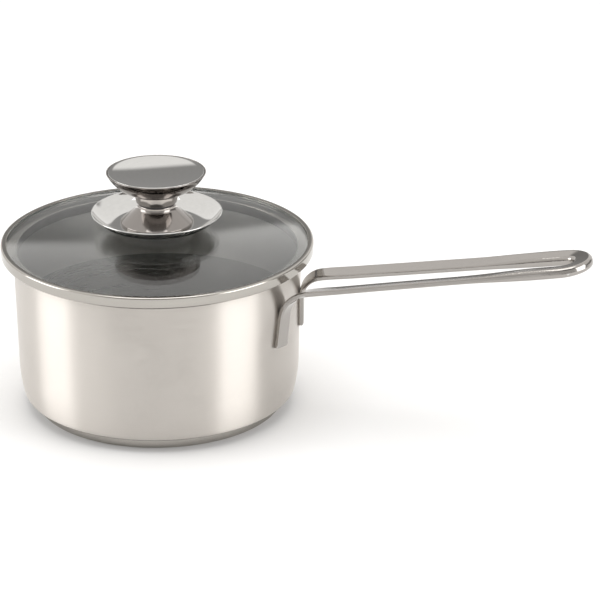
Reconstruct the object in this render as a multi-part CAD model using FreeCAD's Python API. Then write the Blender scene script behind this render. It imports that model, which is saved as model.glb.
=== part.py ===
import FreeCAD, Part
import math
import os

# Saucepan with a lift-off glass lid, in millimetres.
# Frame: the origin is the centre of the base's underside, +Z is up, and the handle points along +X.

# ---- pan: a deep-drawn steel shell -------------------------------------------------------------
PAN_HEIGHT = 90.8              # underside of the base to the top of the pouring rim
WALL = 0.7                     # sheet thickness of the shell
MOUTH_RADIUS = 80.5            # inside radius of the wall, where the rim starts to flare
WALL_DRAFT_DEG = 1.3           # the wall leans out this much towards the rim
RIM_WIDTH = 2.8                # the pouring rim stands out this far beyond the wall
RIM_BEND = 2.0                 # radius of the bend from wall to rim
BELLY_START = 19.4             # height above the shell's underside where the wall starts to curve in
BELLY_RADIUS = 76.0            # long curve at the foot of the wall
HEEL_RADIUS = 4.3              # tight curve from the wall to the floor

# ---- base: an aluminium disc in a pressed steel cap --------------------------------------------
BASE_HEIGHT = 6.6
BASE_SETBACK = 2.9             # from the middle of the heel's curve in to the side of the base
BASE_CAP_SHEET = 0.5
BASE_EDGE_RADIUS = 1.6

# ---- handle: one flat bar bent into a loop, both ends welded to the wall -----------------------
HANDLE_LENGTH = 165.5          # pan's rim to the outside of the loop's end
HANDLE_SLOPE = 0.1967          # rise for each millimetre outwards
RUN_DROP = 11.35               # the run's middle line passes this far below the rim's edge
BAR_WIDTH = 10.4
BAR_THICKNESS = 2.9
BAR_EDGE = 0.8                 # rounding along the bar's edges
TIP_WIDTH = 10.4               # the bar gets thicker towards the loop's end
TIP_THICKNESS = 5.6
TIP_EDGE = 2.3
TIP_RISE = 0.1                 # how far the thick end's middle lies above the run's line
SWELL_START = 70.0             # where the bar starts to thicken, measured back from the loop's end
SWELL_END = 28.0               # where it has reached its full thickness
BEND_RADIUS = 16.0             # middle of the bar, from the leg up into the run
ROOT_SLOT = 19.2               # width of the slot between the bars, at the bend
TIP_SLOT = 12.0                # the same, where the loop starts to close
ROOT_SPREAD = 0.032            # sideways spread of each bar in the run, at the bend
LEG_SPREAD = 0.16              # sideways spread of each leg, for each millimetre down
RUN_TILT_DEG = 9.3             # the bars' top faces lean in towards the slot
TIP_TILT_DEG = 4.0
LEG_DROP = 41.5                # from the top of the rim down to the legs' lower ends
LEG_TOE = 2.5                  # length over which the leg's lower end is ground thin
LEG_TOE_THICKNESS = 2.3
WELD_BITE = 0.25               # the leg's back is coined this far, to follow the round wall
EDGE_SHARE = 0.4               # a thin section's rounding is at most this share of its thickness
BEND_STEPS = 7                 # sections along the bend, the run and half of the loop's end
RUN_STEPS = 10
END_STEPS = 6
SETTLING_ROUNDS = 5            # the bend's place and the leg's top settle on each other in this many

# ---- lid: glass dome in a rolled steel band ----------------------------------------------------
LID_GAP = 0.25                 # rest clearance between the pan's rim and the band
BAND_OVERHANG = 4.2            # the band reaches this far beyond the pan's rim
BAND_SHEET = 0.5
BAND_LIP = 3.0                 # width of the lip over the glass
BAND_CORNER = 1.1
SKIRT_CLEARANCE = 1.3          # between the band's skirt and the pan's wall
SKIRT_DROP = 4.6               # how far the skirt reaches below the band
GLASS_THICKNESS = 4.0
GLASS_RISE = 10.1              # height of the dome over its edge
GLASS_EDGE_GAP = 0.7           # sealant at the glass's edge, above it and beside it
GLASS_FLOOR_GAP = 0.45         # sealant under the glass's edge
GLASS_EDGE_ROUND = 1.2
SEALANT_RECESS = 0.4           # the sealant ends this far behind the edge of the lip

# ---- screw through the glass -------------------------------------------------------------------
SCREW_RADIUS = 2.5
SCREW_HOLE_CLEARANCE = 0.6
SCREW_POINT = 0.4              # rounding at the screw's end
THREAD_CLEARANCE = 0.05
SCREW_HEAD_OVERHANG = 2.1      # the head is this much wider than the thread, all round
SCREW_HEAD_HEIGHT = 2.6
SCREW_SLOT_WIDTH = 1.2
SCREW_SLOT_DEPTH = 1.2
SCREW_END_GAP = 1.0            # between the screw's end and the end of its hole
LOCK_WASHER_RECESS = 0.2       # the lock washer is this much smaller than the head
LOCK_WASHER_THICKNESS = 1.2
LOCK_WASHER_SPLIT = 0.8
UNDER_WASHER_OVERHANG = 8.4    # the flat washer is this much wider than the head
UNDER_WASHER_THICKNESS = 1.0
UNDER_GASKET_RECESS = 1.0      # the gasket is this much smaller than the flat washer
UNDER_GASKET_THICKNESS = 1.0
BUSH_WALL = 2.3
BUSH_CLEARANCE = 0.1           # between the bush and the glass, and the bush and the screw

# ---- knob stack --------------------------------------------------------------------------------
KNOB_SHEET = 0.8               # sheet of the saucer, cone, cup and dish
FLANGE_GASKET_RISE = 0.8       # gasket thickness over the dome's highest point
FLANGE_GASKET_OVERHANG = 0.9   # the gasket is this much wider than the cone
FLANGE_GASKET_INSET = 4.0      # its hole is this much wider than the hole in the glass
SAUCER_RADIUS = 37.0
SAUCER_MARGIN = 1.4            # flat floor left outside the cone's foot
SAUCER_HEIGHT = 7.3            # underside of the saucer's floor to its rim
CONE_SPREAD = 10.0             # the cone's foot is this much wider than its neck
CONE_HEM = 0.7                 # short upright edge that stands on the saucer
CONE_SHOULDER = 1.0            # rounding between the hem and the flank
CONE_HEIGHT = 11.6
CONE_NECK_RADIUS = 10.6
CONE_NECK_LENGTH = 2.2         # upright part under the joint ring
CONE_NECK_FILLET = 3.0
CONE_TOP_EDGE = 0.7
NECK_RING_THICKNESS = 0.9
NECK_RING_RECESS = 0.5         # the ring is this much smaller than the cone's neck
COLLAR_OVERHANG = 0.9          # the collar's foot is this much wider than the cone's neck
COLLAR_FLARE = 1.4             # from the collar's foot to its top
COLLAR_EDGE = 0.5
COLLAR_HEIGHT = 5.2
SPIGOT_WALL = 4.5              # steel round the screw thread
SPIGOT_HEIGHT = 3.2
SPIGOT_ROOF = 0.9              # steel above the threaded hole
CUP_RADIUS = 28.0
CUP_HEIGHT = 12.5              # top of the collar to the cup's rim
CUP_BULGE = 1.9                # how far the cup's side bows out from a straight cone
DISH_DEPTH = 2.0
DISH_LIP = 1.0                 # flat rolled edge round the dish
SEAM_GAP = 0.1                 # between the dish and the cup's rim

AXIS = FreeCAD.Vector(0, 0, 1)
ORIGIN = FreeCAD.Vector(0, 0, 0)
TOUCHING = 1e-6                # two points closer than this are one point
RIM_RADIUS = MOUTH_RADIUS + WALL + RIM_WIDTH


# ---- drawing helpers ---------------------------------------------------------------------------
def at(radius, height):
    """A point of a turned outline, in the XZ plane."""
    return FreeCAD.Vector(radius, 0, height)


def polar(centre, radius, degrees):
    """The point at an angle on a circle in the XZ plane; centre is (radius, height)."""
    angle = math.radians(degrees)
    return at(centre[0] + radius * math.cos(angle), centre[1] + radius * math.sin(angle))


def arc(centre, radius, start_deg, end_deg):
    middle = polar(centre, radius, (start_deg + end_deg) / 2)
    return Part.Arc(polar(centre, radius, start_deg), middle, polar(centre, radius, end_deg)).toShape()


def line(start, end):
    return Part.LineSegment(start, end).toShape()


def rounded_outline(corners):
    """A closed outline through corners (radius, height, rounding), with tangent arcs at the roundings."""
    edges = []
    ends = []
    count = len(corners)
    for index in range(count):
        here = at(corners[index][0], corners[index][1])
        before = at(corners[index - 1][0], corners[index - 1][1]) - here
        after = at(corners[(index + 1) % count][0], corners[(index + 1) % count][1]) - here
        rounding = corners[index][2]
        if rounding == 0:
            ends.append((here, here))
            continue
        before.normalize()
        after.normalize()
        half = before.getAngle(after) / 2
        reach = rounding / math.tan(half)
        bisector = before + after
        bisector.normalize()
        centre = here + bisector * (rounding / math.sin(half))
        start = here + before * reach
        end = here + after * reach
        edges.append(Part.Arc(start, centre - bisector * rounding, end).toShape())
        ends.append((start, end))
    for index in range(count):
        start = ends[index - 1][1]
        end = ends[index][0]
        if start.distanceToPoint(end) > TOUCHING:
            edges.append(line(start, end))
    return edges


def turned(edges):
    """A solid of revolution about the pan's axis, from a closed outline."""
    wire = Part.Wire(Part.__sortEdges__(edges))
    return Part.Face(wire).revolve(ORIGIN, AXIS, 360)


def ring(inner, outer, bottom, top):
    """A plain turned ring."""
    corners = [(inner, bottom, 0), (outer, bottom, 0), (outer, top, 0), (inner, top, 0)]
    return turned(rounded_outline(corners))


def smooth(value):
    """0 below 0, 1 above 1, and an even S-curve between."""
    value = min(max(value, 0.0), 1.0)
    return value * value * (3 - 2 * value)


def blend(start, end, share):
    return start + (end - start) * share


# ---- pan ---------------------------------------------------------------------------------------
def wall_radius(height):
    """Outside radius of the straight part of the wall."""
    top = PAN_HEIGHT - WALL - RIM_BEND
    lean = math.tan(math.radians(WALL_DRAFT_DEG))
    return MOUTH_RADIUS + WALL - (top - height) * lean


def wall_curves():
    """Centres of the belly and the heel, and the direction in which the two curves touch."""
    draft = math.radians(WALL_DRAFT_DEG)
    start = BASE_HEIGHT + BELLY_START
    belly = (wall_radius(start) - BELLY_RADIUS * math.cos(draft), start + BELLY_RADIUS * math.sin(draft))
    heel_height = BASE_HEIGHT + HEEL_RADIUS
    drop = belly[1] - heel_height
    span = BELLY_RADIUS - HEEL_RADIUS
    across = math.sqrt(span * span - drop * drop)
    return belly, (belly[0] + across, heel_height), -math.degrees(math.atan2(drop, across))


def shell_side(depth):
    """One surface of the shell, from the axis to the rim, depth inside the outer surface."""
    belly, heel, touch = wall_curves()
    floor = BASE_HEIGHT + depth
    bend = RIM_BEND + depth
    bend_height = PAN_HEIGHT - WALL - RIM_BEND
    draft = math.radians(WALL_DRAFT_DEG)
    rim = (wall_radius(bend_height) + RIM_BEND / math.cos(draft), bend_height)
    edges = [line(at(0, floor), at(heel[0], floor))]
    edges.append(arc(heel, HEEL_RADIUS - depth, -90, touch))
    edges.append(arc(belly, BELLY_RADIUS - depth, touch, -WALL_DRAFT_DEG))
    edges.append(line(polar(belly, BELLY_RADIUS - depth, -WALL_DRAFT_DEG),
                      polar(rim, bend, 180 - WALL_DRAFT_DEG)))
    edges.append(arc(rim, bend, 180 - WALL_DRAFT_DEG, 90))
    edges.append(line(at(rim[0], rim[1] + bend), at(RIM_RADIUS, rim[1] + bend)))
    return edges


def pan_shell():
    edges = shell_side(0) + shell_side(WALL)
    edges.append(line(at(RIM_RADIUS, PAN_HEIGHT - WALL), at(RIM_RADIUS, PAN_HEIGHT)))
    edges.append(line(at(0, BASE_HEIGHT), at(0, BASE_HEIGHT + WALL)))
    return turned(edges)


def pan_envelope():
    """Everything inside the shell's outer surface, to cut the handle's legs to the wall."""
    edges = shell_side(0)
    edges.append(line(at(RIM_RADIUS, PAN_HEIGHT - WALL), at(0, PAN_HEIGHT - WALL)))
    edges.append(line(at(0, PAN_HEIGHT - WALL), at(0, BASE_HEIGHT)))
    return turned(edges)


def base_radius():
    return wall_curves()[1][0] - BASE_SETBACK


def base_core():
    inside = BASE_EDGE_RADIUS - BASE_CAP_SHEET
    radius = base_radius() - BASE_CAP_SHEET
    corners = [(0, BASE_CAP_SHEET, 0), (radius, BASE_CAP_SHEET, inside), (radius, BASE_HEIGHT, 0),
               (0, BASE_HEIGHT, 0)]
    return turned(rounded_outline(corners))


def base_cover():
    radius = base_radius()
    outside = [(0, 0, 0), (radius, 0, BASE_EDGE_RADIUS), (radius, BASE_HEIGHT, 0), (0, BASE_HEIGHT, 0)]
    return turned(rounded_outline(outside)).cut(base_core())


# ---- handle ------------------------------------------------------------------------------------
HANDLE_REACH = RIM_RADIUS + HANDLE_LENGTH
ROOT_HALF_SPACING = (ROOT_SLOT + BAR_WIDTH) / 2
TIP_HALF_SPACING = (TIP_SLOT + TIP_WIDTH) / 2
LOOP_START = HANDLE_REACH - TIP_WIDTH / 2 - TIP_HALF_SPACING
RUN_RISE_DEG = math.degrees(math.atan(HANDLE_SLOPE))
LEG_SLOPE_DEG = 90 - WALL_DRAFT_DEG
BEND_LENGTH = BEND_RADIUS * math.radians(LEG_SLOPE_DEG - RUN_RISE_DEG)
LEG_TOP_SPACING = ROOT_HALF_SPACING + (ROOT_SPREAD + LEG_SPREAD) / 2 * BEND_LENGTH
LEG_OFFSET = BAR_THICKNESS / 2 - WELD_BITE     # from the wall to the middle of the leg


def bar_section(centre, inward, up, width, thickness, rounding):
    """A rounded rectangle: inward points to the slot, up to the bar's top face."""
    half_w = width / 2
    half_t = thickness / 2
    flat_w = half_w - rounding
    flat_t = half_t - rounding
    cut = rounding * math.sqrt(0.5)

    def place(across, high):
        return centre + inward * across + up * high

    edges = []
    for side, top in ((1, 1), (-1, 1), (-1, -1), (1, -1)):
        corner = [place(side * half_w, top * flat_t),
                  place(side * (flat_w + cut), top * (flat_t + cut)),
                  place(side * flat_w, top * half_t)]
        if side * top < 0:
            corner.reverse()
        if edges:
            edges.append(line(edges[-1].Vertexes[-1].Point, corner[0]))
        edges.append(Part.Arc(corner[0], corner[1], corner[2]).toShape())
    edges.append(line(edges[-1].Vertexes[-1].Point, edges[0].Vertexes[0].Point))
    return Part.Wire(edges)


def bar_frame(slope_deg, sideways, tilt_deg):
    """Directions of a bar's section on the -Y side: inward across the bar, and up out of its top face.

    slope_deg is the bar's direction in the XZ plane, and sideways its spread from the middle plane."""
    slope = math.radians(slope_deg)
    tilt = math.radians(tilt_deg)
    along = FreeCAD.Vector(math.cos(slope), sideways, math.sin(slope))
    along.normalize()
    top = FreeCAD.Vector(-math.sin(slope), 0, math.cos(slope))
    inward = FreeCAD.Vector(0, math.cos(tilt), 0) - top * math.sin(tilt)
    inward = inward - along * inward.dot(along)
    inward.normalize()
    return inward, inward.cross(-along)


def run_height(reach):
    """Height of the run's middle line."""
    return PAN_HEIGHT - RUN_DROP + HANDLE_SLOPE * (reach - RIM_RADIUS)


def leg_reach(height, spacing, offset):
    """How far out a point is that lies offset outside the wall and spacing from the middle plane."""
    return math.sqrt((wall_radius(height) + offset) ** 2 - spacing ** 2)


def bend_centre():
    """Reach and height of the bend's centre: one bend radius below the run and outside the leg."""
    leg = math.radians(LEG_SLOPE_DEG)
    leg_top = PAN_HEIGHT - RUN_DROP - BEND_RADIUS
    for _ in range(SETTLING_ROUNDS):
        reach = leg_reach(leg_top, LEG_TOP_SPACING, LEG_OFFSET) + BEND_RADIUS * math.sin(leg)
        height = run_height(reach) - BEND_RADIUS / math.cos(math.radians(RUN_RISE_DEG))
        leg_top = height + BEND_RADIUS * math.cos(leg)
    return reach, height, leg_top


def leg_sections():
    """The leg, from its thin toe up to the bend."""
    leg_top = bend_centre()[2]
    bottom = PAN_HEIGHT - LEG_DROP
    toe_top = bottom + LEG_TOE
    sections = []
    for height in (bottom, bottom + LEG_TOE / 2, toe_top, (toe_top + leg_top) / 2):
        share = min((height - bottom) / LEG_TOE, 1)
        thickness = blend(LEG_TOE_THICKNESS, BAR_THICKNESS, math.sqrt(1 - (1 - share) ** 2))
        spacing = LEG_TOP_SPACING + LEG_SPREAD * (leg_top - height)
        centre = FreeCAD.Vector(leg_reach(height, spacing, thickness / 2 - WELD_BITE), -spacing, height)
        tilt = math.degrees(math.asin(spacing / (wall_radius(height) + LEG_OFFSET)))
        inward, up = bar_frame(LEG_SLOPE_DEG, LEG_SPREAD, tilt)
        sections.append((centre, inward, up, BAR_WIDTH, thickness,
                         min(BAR_EDGE, EDGE_SHARE * thickness)))
    return sections


def bend_sections():
    """The bend, in even steps from the leg to the run."""
    reach, height, leg_top = bend_centre()
    leg_tilt = math.degrees(math.asin(LEG_TOP_SPACING / (wall_radius(leg_top) + LEG_OFFSET)))
    sections = []
    for step in range(BEND_STEPS + 1):
        share = step / BEND_STEPS
        slope = blend(LEG_SLOPE_DEG, RUN_RISE_DEG, share)
        left = BEND_LENGTH * (1 - share)
        turning = (LEG_SPREAD - ROOT_SPREAD) * left ** 2 / (2 * BEND_LENGTH)
        spacing = ROOT_HALF_SPACING + ROOT_SPREAD * left + turning
        angle = math.radians(slope)
        inward, up = bar_frame(slope, blend(LEG_SPREAD, ROOT_SPREAD, share),
                               blend(leg_tilt, RUN_TILT_DEG, share))
        centre = FreeCAD.Vector(reach - BEND_RADIUS * math.sin(angle), -spacing,
                                height + BEND_RADIUS * math.cos(angle))
        sections.append((centre, inward, up, BAR_WIDTH, BAR_THICKNESS,
                         min(BAR_EDGE, EDGE_SHARE * BAR_THICKNESS)))
    return sections


def bar_at(reach):
    """Width, thickness, edge rounding and rise of the bar, which swells towards the loop's end."""
    back = HANDLE_REACH - reach
    share = smooth((SWELL_START - back) / (SWELL_START - SWELL_END))
    edge = min(BAR_EDGE, EDGE_SHARE * BAR_THICKNESS)
    tip_edge = min(TIP_EDGE, EDGE_SHARE * min(TIP_THICKNESS, TIP_WIDTH))
    return (blend(BAR_WIDTH, TIP_WIDTH, share), blend(BAR_THICKNESS, TIP_THICKNESS, share),
            blend(edge, tip_edge, share), TIP_RISE * share)


def run_sections():
    """The long straight run, whose spacing closes at the root's rate and levels out at the loop."""
    start = bend_centre()[0] - BEND_RADIUS * math.sin(math.radians(RUN_RISE_DEG))
    closing = ROOT_SPREAD * (LOOP_START - start)
    sections = []
    for step in range(1, RUN_STEPS + 1):
        share = step / RUN_STEPS
        reach = blend(start, LOOP_START, share)
        spacing = ROOT_HALF_SPACING - closing * share
        spacing -= (ROOT_HALF_SPACING - TIP_HALF_SPACING - closing) * share * share
        width, thickness, rounding, rise = bar_at(reach)
        inward, up = bar_frame(RUN_RISE_DEG, 0, RUN_TILT_DEG)
        centre = FreeCAD.Vector(reach, -spacing, run_height(reach) + rise)
        sections.append((centre, inward, up, width, thickness, rounding))
    return sections


def end_sections():
    """Half of the round end, turning about the slot."""
    sections = []
    for step in range(1, END_STEPS + 1):
        angle = math.radians(90 * step / END_STEPS)
        reach = LOOP_START + TIP_HALF_SPACING * math.sin(angle)
        tilt = math.radians(blend(RUN_TILT_DEG, TIP_TILT_DEG, step / END_STEPS))
        along = FreeCAD.Vector(math.cos(angle), math.sin(angle), HANDLE_SLOPE * math.cos(angle))
        along.normalize()
        level = FreeCAD.Vector(-math.sin(angle), math.cos(angle), -HANDLE_SLOPE * math.sin(angle))
        level = level - along * level.dot(along)
        level.normalize()
        inward = level * math.cos(tilt) - level.cross(-along) * math.sin(tilt)
        width, thickness, rounding, rise = bar_at(reach)
        centre = FreeCAD.Vector(reach, -TIP_HALF_SPACING * math.cos(angle), run_height(reach) + rise)
        sections.append((centre, inward, inward.cross(-along), width, thickness, rounding))
    return sections


def mirrored(section):
    """The same section on the other side of the handle's middle plane."""
    centre, inward, up, width, thickness, rounding = section

    def flip(vector):
        return FreeCAD.Vector(vector.x, -vector.y, vector.z)

    return flip(centre), flip(inward), flip(up), width, thickness, rounding


def handle_loop():
    near = leg_sections() + bend_sections() + run_sections() + end_sections()
    far = [mirrored(section) for section in reversed(near[:-1])]
    wires = [bar_section(*section) for section in near + far]
    return Part.makeLoft(wires, True, False).cut(pan_envelope())


# ---- lid: glass and band -----------------------------------------------------------------------
BAND_RADIUS = RIM_RADIUS + BAND_OVERHANG
BAND_HEIGHT = 2 * BAND_SHEET + GLASS_EDGE_GAP + GLASS_THICKNESS + GLASS_FLOOR_GAP
BAND_BOTTOM = PAN_HEIGHT + LID_GAP
BAND_TOP = BAND_BOTTOM + BAND_HEIGHT
GLASS_RADIUS = BAND_RADIUS - BAND_SHEET - GLASS_EDGE_GAP
GLASS_EDGE_TOP = BAND_TOP - BAND_SHEET - GLASS_EDGE_GAP
GLASS_TOP = GLASS_EDGE_TOP + GLASS_RISE
GLASS_HOLE_RADIUS = SCREW_RADIUS + BUSH_WALL + 2 * BUSH_CLEARANCE
DOME_RADIUS = (GLASS_RADIUS ** 2 + GLASS_RISE ** 2) / (2 * GLASS_RISE)


def dome_height(radius, depth):
    """Height of a surface of the dome, depth below its outer surface."""
    return GLASS_TOP - depth - DOME_RADIUS + math.sqrt(DOME_RADIUS ** 2 - radius ** 2)


def dome_arc(inner, outer, depth):
    middle = (inner + outer) / 2
    return Part.Arc(at(inner, dome_height(inner, depth)), at(middle, dome_height(middle, depth)),
                    at(outer, dome_height(outer, depth))).toShape()


def lid_glass():
    shoulder = GLASS_RADIUS - GLASS_EDGE_ROUND
    top = dome_height(shoulder, 0)
    bottom = dome_height(shoulder, GLASS_THICKNESS)
    edges = [dome_arc(GLASS_HOLE_RADIUS, shoulder, 0),
             dome_arc(GLASS_HOLE_RADIUS, shoulder, GLASS_THICKNESS)]
    edges.append(line(at(GLASS_HOLE_RADIUS, dome_height(GLASS_HOLE_RADIUS, 0)),
                      at(GLASS_HOLE_RADIUS, dome_height(GLASS_HOLE_RADIUS, GLASS_THICKNESS))))
    edges.append(Part.Arc(at(shoulder, top), at(GLASS_RADIUS, (top + bottom) / 2),
                          at(shoulder, bottom)).toShape())
    return turned(edges)


def lid_band():
    inside = BAND_RADIUS - BAND_SHEET
    lip = BAND_RADIUS - BAND_LIP
    skirt = MOUTH_RADIUS - SKIRT_CLEARANCE
    floor = BAND_BOTTOM + BAND_SHEET
    ceiling = BAND_TOP - BAND_SHEET
    corner = BAND_CORNER - BAND_SHEET
    hem = BAND_BOTTOM - SKIRT_DROP
    corners = [(lip, BAND_TOP, 0), (BAND_RADIUS, BAND_TOP, BAND_CORNER),
               (BAND_RADIUS, BAND_BOTTOM, BAND_CORNER), (skirt, BAND_BOTTOM, 0), (skirt, hem, 0),
               (skirt - BAND_SHEET, hem, 0), (skirt - BAND_SHEET, floor, BAND_SHEET / 2),
               (inside, floor, corner), (inside, ceiling, corner), (lip, ceiling, 0)]
    return turned(rounded_outline(corners))


def band_sealant(glass):
    inside = BAND_RADIUS - BAND_SHEET
    edge = BAND_RADIUS - BAND_LIP + SEALANT_RECESS
    floor = BAND_BOTTOM + BAND_SHEET
    ceiling = BAND_TOP - BAND_SHEET
    corner = BAND_CORNER - BAND_SHEET
    corners = [(edge, floor, 0), (inside, floor, corner), (inside, ceiling, corner), (edge, ceiling, 0)]
    return turned(rounded_outline(corners)).cut(glass)


# ---- knob stack --------------------------------------------------------------------------------
SAUCER_BOTTOM = GLASS_TOP + FLANGE_GASKET_RISE
CONE_BOTTOM = SAUCER_BOTTOM + KNOB_SHEET
CONE_TOP = CONE_BOTTOM + CONE_HEIGHT
COLLAR_BOTTOM = CONE_TOP + NECK_RING_THICKNESS
COLLAR_TOP = COLLAR_BOTTOM + COLLAR_HEIGHT
CUP_RIM = COLLAR_TOP + CUP_HEIGHT
GLASS_UNDERSIDE = GLASS_TOP - GLASS_THICKNESS
UNDER_WASHER_TOP = GLASS_UNDERSIDE - UNDER_GASKET_THICKNESS
UNDER_WASHER_BOTTOM = UNDER_WASHER_TOP - UNDER_WASHER_THICKNESS
HEAD_TOP = UNDER_WASHER_BOTTOM - LOCK_WASHER_THICKNESS
SCREW_HOLE_RADIUS = SCREW_RADIUS + SCREW_HOLE_CLEARANCE
SCREW_HEAD_RADIUS = SCREW_RADIUS + SCREW_HEAD_OVERHANG
UNDER_WASHER_RADIUS = SCREW_HEAD_RADIUS + UNDER_WASHER_OVERHANG
THREAD_DEPTH = COLLAR_HEIGHT + SPIGOT_HEIGHT - SPIGOT_ROOF
SPIGOT_RADIUS = SCREW_RADIUS + SPIGOT_WALL
CONE_BASE_RADIUS = CONE_NECK_RADIUS + CONE_SPREAD
COLLAR_FOOT_RADIUS = CONE_NECK_RADIUS + COLLAR_OVERHANG
COLLAR_TOP_RADIUS = COLLAR_FOOT_RADIUS + COLLAR_FLARE
BUSH_RADIUS = GLASS_HOLE_RADIUS - BUSH_CLEARANCE


def flange_gasket(glass):
    hole = GLASS_HOLE_RADIUS + FLANGE_GASKET_INSET
    return ring(hole, CONE_BASE_RADIUS + FLANGE_GASKET_OVERHANG, GLASS_UNDERSIDE, SAUCER_BOTTOM).cut(glass)


def saucer_flange():
    """A shallow bowl: a flat floor under the cone, then one even curve up to the rim."""
    flat = CONE_BASE_RADIUS + SAUCER_MARGIN
    width = SAUCER_RADIUS - flat
    steep = 2 * math.atan(SAUCER_HEIGHT / width)
    sweep = width / math.sin(steep)
    centre = (flat, SAUCER_BOTTOM + sweep)
    end = math.degrees(steep) - 90
    floor = SAUCER_BOTTOM + KNOB_SHEET
    edges = [line(at(SCREW_HOLE_RADIUS, SAUCER_BOTTOM), at(flat, SAUCER_BOTTOM)),
             arc(centre, sweep, -90, end),
             line(polar(centre, sweep, end), polar(centre, sweep - KNOB_SHEET, end)),
             arc(centre, sweep - KNOB_SHEET, end, -90),
             line(at(flat, floor), at(SCREW_HOLE_RADIUS, floor)),
             line(at(SCREW_HOLE_RADIUS, floor), at(SCREW_HOLE_RADIUS, SAUCER_BOTTOM))]
    return turned(edges)


def knob_cone():
    """A hollow bell: hem, shoulder, sloping flank, upright neck and a flat top with the screw hole."""
    hem = CONE_BOTTOM + CONE_HEM
    neck = CONE_TOP - CONE_NECK_LENGTH
    inner_neck = CONE_NECK_RADIUS - KNOB_SHEET
    ceiling = CONE_TOP - KNOB_SHEET
    corners = [(CONE_BASE_RADIUS - KNOB_SHEET, CONE_BOTTOM, 0), (CONE_BASE_RADIUS, CONE_BOTTOM, 0),
               (CONE_BASE_RADIUS, hem + KNOB_SHEET / 2, CONE_SHOULDER),
               (CONE_NECK_RADIUS, neck, CONE_NECK_FILLET),
               (CONE_NECK_RADIUS, CONE_TOP, CONE_TOP_EDGE), (SCREW_HOLE_RADIUS, CONE_TOP, 0),
               (SCREW_HOLE_RADIUS, ceiling, 0), (inner_neck, ceiling, 0),
               (inner_neck, neck - KNOB_SHEET / 2, CONE_NECK_FILLET),
               (CONE_BASE_RADIUS - KNOB_SHEET, hem, 0)]
    return turned(rounded_outline(corners))


def neck_ring():
    return ring(SCREW_HOLE_RADIUS, CONE_NECK_RADIUS - NECK_RING_RECESS, CONE_TOP, COLLAR_BOTTOM)


def knob_boss():
    """The turned collar under the cup, with a spigot that holds the cup and a blind threaded hole."""
    thread = SCREW_RADIUS + THREAD_CLEARANCE
    top = COLLAR_TOP + SPIGOT_HEIGHT
    thread_end = COLLAR_BOTTOM + THREAD_DEPTH
    corners = [(thread, COLLAR_BOTTOM, 0), (COLLAR_FOOT_RADIUS, COLLAR_BOTTOM, COLLAR_EDGE),
               (COLLAR_TOP_RADIUS, COLLAR_TOP, 0), (SPIGOT_RADIUS, COLLAR_TOP, 0), (SPIGOT_RADIUS, top, 0),
               (0, top, 0), (0, thread_end, 0), (thread, thread_end, 0)]
    return turned(rounded_outline(corners))


def bowed(start, end, bulge):
    """An arc between two points that bows out from the straight line between them."""
    run = end - start
    out = FreeCAD.Vector(run.z, 0, -run.x)
    out.normalize()
    return Part.Arc(start, (start + end) / 2 + out * bulge, end).toShape()


def knob_cup():
    foot = COLLAR_TOP_RADIUS
    rim = CUP_RADIUS - KNOB_SHEET
    floor = COLLAR_TOP + KNOB_SHEET
    edges = [line(at(SPIGOT_RADIUS, COLLAR_TOP), at(foot, COLLAR_TOP)),
             bowed(at(foot, COLLAR_TOP), at(CUP_RADIUS, CUP_RIM), CUP_BULGE),
             line(at(CUP_RADIUS, CUP_RIM), at(rim, CUP_RIM)),
             bowed(at(foot - KNOB_SHEET / 2, floor), at(rim, CUP_RIM), CUP_BULGE),
             line(at(foot - KNOB_SHEET / 2, floor), at(SPIGOT_RADIUS, floor)),
             line(at(SPIGOT_RADIUS, floor), at(SPIGOT_RADIUS, COLLAR_TOP))]
    return turned(edges)


def knob_top_dish():
    """The hollow-ground top plate, set flush in the cup's rim."""
    edge = CUP_RADIUS - KNOB_SHEET - SEAM_GAP
    lip = edge - DISH_LIP
    sphere = (lip ** 2 + DISH_DEPTH ** 2) / (2 * DISH_DEPTH)
    centre = (0, CUP_RIM - DISH_DEPTH + sphere)
    half = math.degrees(math.asin(lip / sphere))
    under = sphere + KNOB_SHEET
    under_half = math.degrees(math.asin((lip - KNOB_SHEET / 2) / under))
    corner = polar(centre, under, under_half - 90)
    edges = [arc(centre, sphere, -90, half - 90),
             line(at(lip, CUP_RIM), at(edge, CUP_RIM)),
             line(at(edge, CUP_RIM), corner),
             arc(centre, under, under_half - 90, -90),
             line(at(0, CUP_RIM - DISH_DEPTH - KNOB_SHEET), at(0, CUP_RIM - DISH_DEPTH))]
    return turned(edges)


def lid_screw():
    tip = COLLAR_BOTTOM + THREAD_DEPTH - SCREW_END_GAP
    bottom = HEAD_TOP - SCREW_HEAD_HEIGHT
    corners = [(0, bottom, 0), (SCREW_HEAD_RADIUS, bottom, SCREW_HEAD_HEIGHT / 2),
               (SCREW_HEAD_RADIUS, HEAD_TOP, 0),
               (SCREW_RADIUS, HEAD_TOP, 0), (SCREW_RADIUS, tip, SCREW_POINT), (0, tip, 0)]
    corner = FreeCAD.Vector(-SCREW_HEAD_RADIUS, -SCREW_SLOT_WIDTH / 2, bottom)
    slot = Part.makeBox(2 * SCREW_HEAD_RADIUS, SCREW_SLOT_WIDTH, SCREW_SLOT_DEPTH, corner)
    return turned(rounded_outline(corners)).cut(slot)


def lock_washer():
    radius = SCREW_HEAD_RADIUS - LOCK_WASHER_RECESS
    washer = ring(SCREW_HOLE_RADIUS, radius, HEAD_TOP, UNDER_WASHER_BOTTOM)
    corner = FreeCAD.Vector(0, -LOCK_WASHER_SPLIT / 2, HEAD_TOP)
    return washer.cut(Part.makeBox(2 * radius, LOCK_WASHER_SPLIT, LOCK_WASHER_THICKNESS, corner))


def under_washer():
    return ring(SCREW_HOLE_RADIUS, UNDER_WASHER_RADIUS, UNDER_WASHER_BOTTOM, UNDER_WASHER_TOP)


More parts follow.
